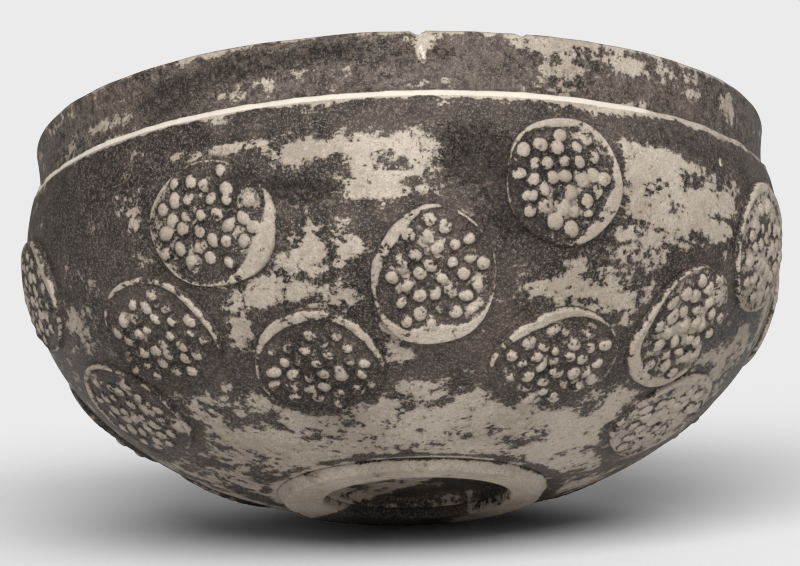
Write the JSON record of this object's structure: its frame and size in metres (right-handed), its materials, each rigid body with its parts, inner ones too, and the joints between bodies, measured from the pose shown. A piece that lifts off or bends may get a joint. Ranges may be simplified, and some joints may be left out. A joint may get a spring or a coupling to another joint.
{
  "type": "footed bowl",
  "caption": "Rounded slip-coated pottery bowl with a plain upright collar, a low foot ring and staggered rows of knobbed round medallions, for serving food.",
  "frame": {"origin": "centre of the foot ring's resting face, on the bowl's axis", "axes": "+Z along the bowl's axis, up out of the mouth; -Y is the side that faces the picture's camera"},
  "size_m": [0.1518, 0.1522, 0.0736],
  "materials": {
    "slipped_clay": "satin slip, worn",
    "bare_clay": "matt fired clay",
    "sprig_clay": "worn slip on clay"
  },
  "bodies": {
    "root": {"bowl_wall": "slipped_clay", "rim_collar": "slipped_clay", "foot_ring": "bare_clay", "medallion_upper_1": "sprig_clay", "medallion_upper_2": "sprig_clay", "medallion_upper_3": "sprig_clay", "medallion_upper_4": "sprig_clay", "medallion_upper_5": "sprig_clay", "medallion_upper_6": "sprig_clay", "medallion_upper_7": "sprig_clay", "medallion_upper_8": "sprig_clay", "medallion_middle_1": "sprig_clay", "medallion_middle_2": "sprig_clay", "medallion_middle_3": "sprig_clay", "medallion_middle_4": "sprig_clay", "medallion_middle_5": "sprig_clay", "medallion_middle_6": "sprig_clay", "medallion_middle_7": "sprig_clay", "medallion_lower_1": "sprig_clay", "medallion_lower_2": "sprig_clay", "medallion_lower_3": "sprig_clay", "medallion_lower_4": "sprig_clay", "medallion_lower_5": "sprig_clay", "medallion_lower_6": "sprig_clay", "medallion_lower_7": "sprig_clay"}
  },
  "joints": []
}
